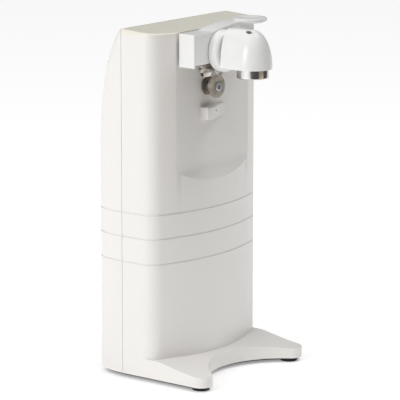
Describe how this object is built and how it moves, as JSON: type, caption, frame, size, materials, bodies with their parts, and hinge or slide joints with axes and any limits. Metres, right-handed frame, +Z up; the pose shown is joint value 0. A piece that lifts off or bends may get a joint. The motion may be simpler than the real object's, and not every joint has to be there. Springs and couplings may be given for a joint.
{
  "type": "electric can opener",
  "caption": "Tall free-standing electric can opener with bowed white housing, forward feet, cutting lever, toothed drive wheel and hooded lid magnet.",
  "frame": {"origin": "middle of the overall box, at the level of the rubber pads' undersides", "axes": "+Z up, -Y towards the front with the lever and wheel, +X towards the user's right when facing the front"},
  "size_m": [0.1192, 0.1194, 0.248],
  "materials": {
    "housing_white": "glossy moulded white plastic, faintly warm",
    "black_plastic": "matt black moulded plastic",
    "black_rubber": "matt black rubber",
    "magnet_chrome": "polished chrome plate",
    "cutter_steel": "stamped hardened steel, slightly warm",
    "wheel_steel": "serrated tool steel with a bronze cast",
    "zinc_steel": "zinc plated steel",
    "bronze": "oil-soaked bronze",
    "gear_nylon": "natural nylon",
    "laminations": "stacked silicon steel sheets",
    "copper_winding": "enamelled copper wire",
    "switch_plastic": "dark moulded phenolic"
  },
  "bodies": {
    "housing": {"base_plate": "black_plastic", "chassis_plate": "zinc_steel", "chassis_screw_1": "zinc_steel", "chassis_screw_2": "zinc_steel", "chassis_screw_3": "zinc_steel", "chassis_screw_4": "zinc_steel", "cord_gland": "black_rubber", "cover_screw_1": "zinc_steel", "cover_screw_2": "zinc_steel", "cover_screw_3": "zinc_steel", "cover_screw_4": "zinc_steel", "drive_bush": "bronze", "field_coil": "copper_winding", "foot_pad_front_left": "black_rubber", "foot_pad_front_right": "black_rubber", "foot_pad_rear_left": "black_rubber", "foot_pad_rear_right": "black_rubber", "front_housing": "housing_white", "idler_clip": "zinc_steel", "idler_post": "zinc_steel", "lever_bush": "bronze", "motor_bracket_front": "zinc_steel", "motor_bracket_rear": "zinc_steel", "motor_screw_left": "zinc_steel", "motor_screw_right": "zinc_steel", "motor_spacer_left": "zinc_steel", "motor_spacer_right": "zinc_steel", "rear_cover": "housing_white", "stator_core": "laminations", "switch_body": "switch_plastic"},
    "rotor": {"rotor_core": "laminations", "rotor_shaft": "zinc_steel", "motor_pinion": "bronze", "cooling_fan": "black_plastic"},
    "idler": {"idler_gear": "gear_nylon"},
    "drive": {"drive_wheel": "wheel_steel", "wheel_screw": "zinc_steel", "drive_shaft": "zinc_steel", "drive_gear": "gear_nylon", "drive_clip": "zinc_steel"},
    "lever": {"lever_arm": "housing_white", "lever_shaft": "zinc_steel", "lever_crank": "zinc_steel", "cutter_plate": "cutter_steel", "cutter_spacer": "zinc_steel", "cutter_screw": "zinc_steel", "rim_guide": "cutter_steel", "magnet_hub": "housing_white"},
    "hood": {"magnet_hood": "housing_white", "hinge_pin": "zinc_steel"},
    "magnet": {"magnet": "magnet_chrome", "magnet_stem": "zinc_steel", "stem_clip": "zinc_steel"},
    "switch": {"switch_slider": "switch_plastic"}
  },
  "joints": [
    {"name": "rotor_spin", "type": "hinge", "parent": "housing", "child": "rotor", "pos_m": [0, 0.02905, 0.13728], "axis": [0, 1, 0], "continuous": true},
    {"name": "idler_spin", "type": "hinge", "parent": "housing", "child": "idler", "pos_m": [0.0018, 0.02905, 0.16873], "axis": [0, 1, 0], "continuous": true},
    {"name": "drive_spin", "type": "hinge", "parent": "housing", "child": "drive", "pos_m": [-0.0062, -0.01095, 0.2028], "axis": [0, 1, 0], "continuous": true},
    {"name": "lever_swing", "type": "hinge", "parent": "housing", "child": "lever", "pos_m": [-0.03, -0.00495, 0.231], "axis": [0, -1, 0], "range_deg": [-3, 20]},
    {"name": "switch_slide", "type": "slide", "parent": "housing", "child": "switch", "axis": [0, 0, 1], "range_m": [-0.0034, 0.0007]},
    {"name": "magnet_lift", "type": "hinge", "parent": "lever", "child": "hood", "pos_m": [-0.0099, -0.03345, 0.2385], "axis": [-1, 0, 0], "range_deg": [0, 20]},
    {"name": "magnet_float", "type": "slide", "parent": "hood", "child": "magnet", "axis": [0, 0, 1], "range_m": [0, 0.003]}
  ],
  "couplings": [
    {"joint": "idler_spin", "follows": "rotor_spin", "ratio": -0.16667},
    {"joint": "drive_spin", "follows": "rotor_spin", "ratio": 0.027778},
    {"joint": "switch_slide", "follows": "lever_swing", "m_per_rad": -0.009}
  ]
}
